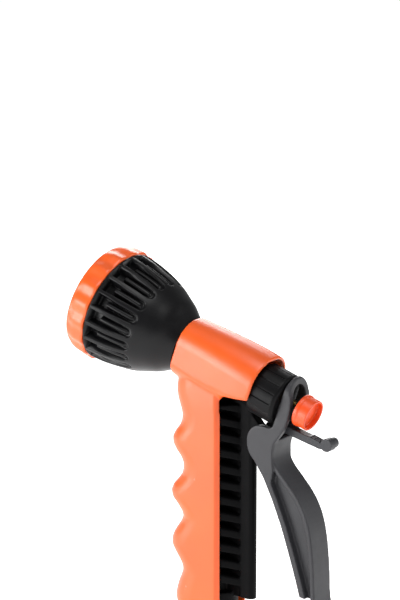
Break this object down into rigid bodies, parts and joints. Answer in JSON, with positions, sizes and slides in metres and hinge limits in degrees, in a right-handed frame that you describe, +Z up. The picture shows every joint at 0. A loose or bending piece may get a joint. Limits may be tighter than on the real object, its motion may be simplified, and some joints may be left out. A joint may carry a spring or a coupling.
{
  "type": "hose spray nozzle",
  "caption": "Garden hose spray gun with a finger-grooved grip cover, a rear trigger lever, a flow knob, a hold-open latch and a ribbed bell-shaped shower head with a turning dial",
  "frame": {"origin": "centre of the open mouth of the hose spigot, at the bottom of the upright grip", "axes": "+Z up along the grip, spray head toward -X with the barrel rising toward it, Y across, the gun's left side toward -Y"},
  "size_m": [0.1439, 0.058, 0.1981],
  "materials": {
    "cover_orange": "satin moulded polypropylene, fine grain",
    "body_black": "moulded glass-filled nylon, satin",
    "nut_black": "moulded nylon, ribbed",
    "bell_black": "moulded plastic, satin sheen",
    "lever_grey": "glass-filled nylon, fine grain",
    "latch_grey": "glass-filled nylon",
    "knob_red_orange": "moulded acetal",
    "dial_orange": "satin moulded plastic",
    "plate_grey": "moulded plastic",
    "spigot_grey": "moulded acetal",
    "acetal_white": "acetal",
    "brass": "turned brass",
    "spring_steel": "stainless spring steel",
    "pin_steel": "stainless steel, turned",
    "rubber_black": "nitrile rubber"
  },
  "bodies": {
    "body": {"cover_shell": "cover_orange", "valve_body": "body_black", "gland_nut": "nut_black", "gland_bush": "brass", "packing_ring": "rubber_black", "valve_seat": "brass", "return_spring": "spring_steel", "lever_pin": "pin_steel", "head_bell": "bell_black", "neck_o_ring": "rubber_black", "distributor": "acetal_white", "face_seal": "rubber_black", "dial_screw": "pin_steel", "base_plate": "body_black", "hose_spigot": "spigot_grey", "spigot_o_ring": "rubber_black", "spigot_gasket": "rubber_black", "inlet_filter": "acetal_white"},
    "lever": {"trigger_lever": "lever_grey"},
    "stem": {"valve_stem": "brass", "seal_cup": "brass", "stem_seal": "rubber_black", "seal_nut": "brass"},
    "knob_carrier": {"knob_washer": "body_black"},
    "knob": {"flow_knob": "knob_red_orange", "knob_insert": "brass"},
    "dial": {"dial_ring": "dial_orange", "spray_plate": "plate_grey", "plate_gasket": "rubber_black"},
    "latch": {"latch_bar": "latch_grey"}
  },
  "joints": [
    {"name": "lever_squeeze", "type": "hinge", "parent": "body", "child": "lever", "pos_m": [0.0302, 0, 0.1144], "axis": [0, 1, 0], "range_deg": [0, 18], "stiffness_Nm_per_rad": 0.4, "springref_deg": -17.19},
    {"name": "stem_slide", "type": "slide", "parent": "body", "child": "stem", "axis": [0.9444, 0, -0.3289], "range_m": [0, 0.0065], "stiffness_N_per_m": 60, "springref_m": -0.004, "deforming": ["return_spring"]},
    {"name": "carrier_slide", "type": "slide", "parent": "stem", "child": "knob_carrier", "axis": [0.9444, 0, -0.3289], "range_m": [0, 0.002]},
    {"name": "knob_turn", "type": "hinge", "parent": "knob_carrier", "child": "knob", "pos_m": [0.05055, 0, 0.13055], "axis": [0.9444, 0, -0.3289], "range_deg": [0, 720]},
    {"name": "dial_turn", "type": "hinge", "parent": "body", "child": "dial", "pos_m": [-0.06277, 0, 0.17001], "axis": [-0.9444, 0, 0.3289], "continuous": true},
    {"name": "latch_press", "type": "hinge", "parent": "body", "child": "latch", "pos_m": [0.0302, 0, 0.1144], "axis": [0, 1, 0], "range_deg": [0, 5]}
  ],
  "couplings": [
    {"joint": "stem_slide", "follows": "lever_squeeze", "m_per_rad": 0.0204},
    {"joint": "knob_turn", "follows": "carrier_slide", "rad_per_m": 6283.2}
  ]
}
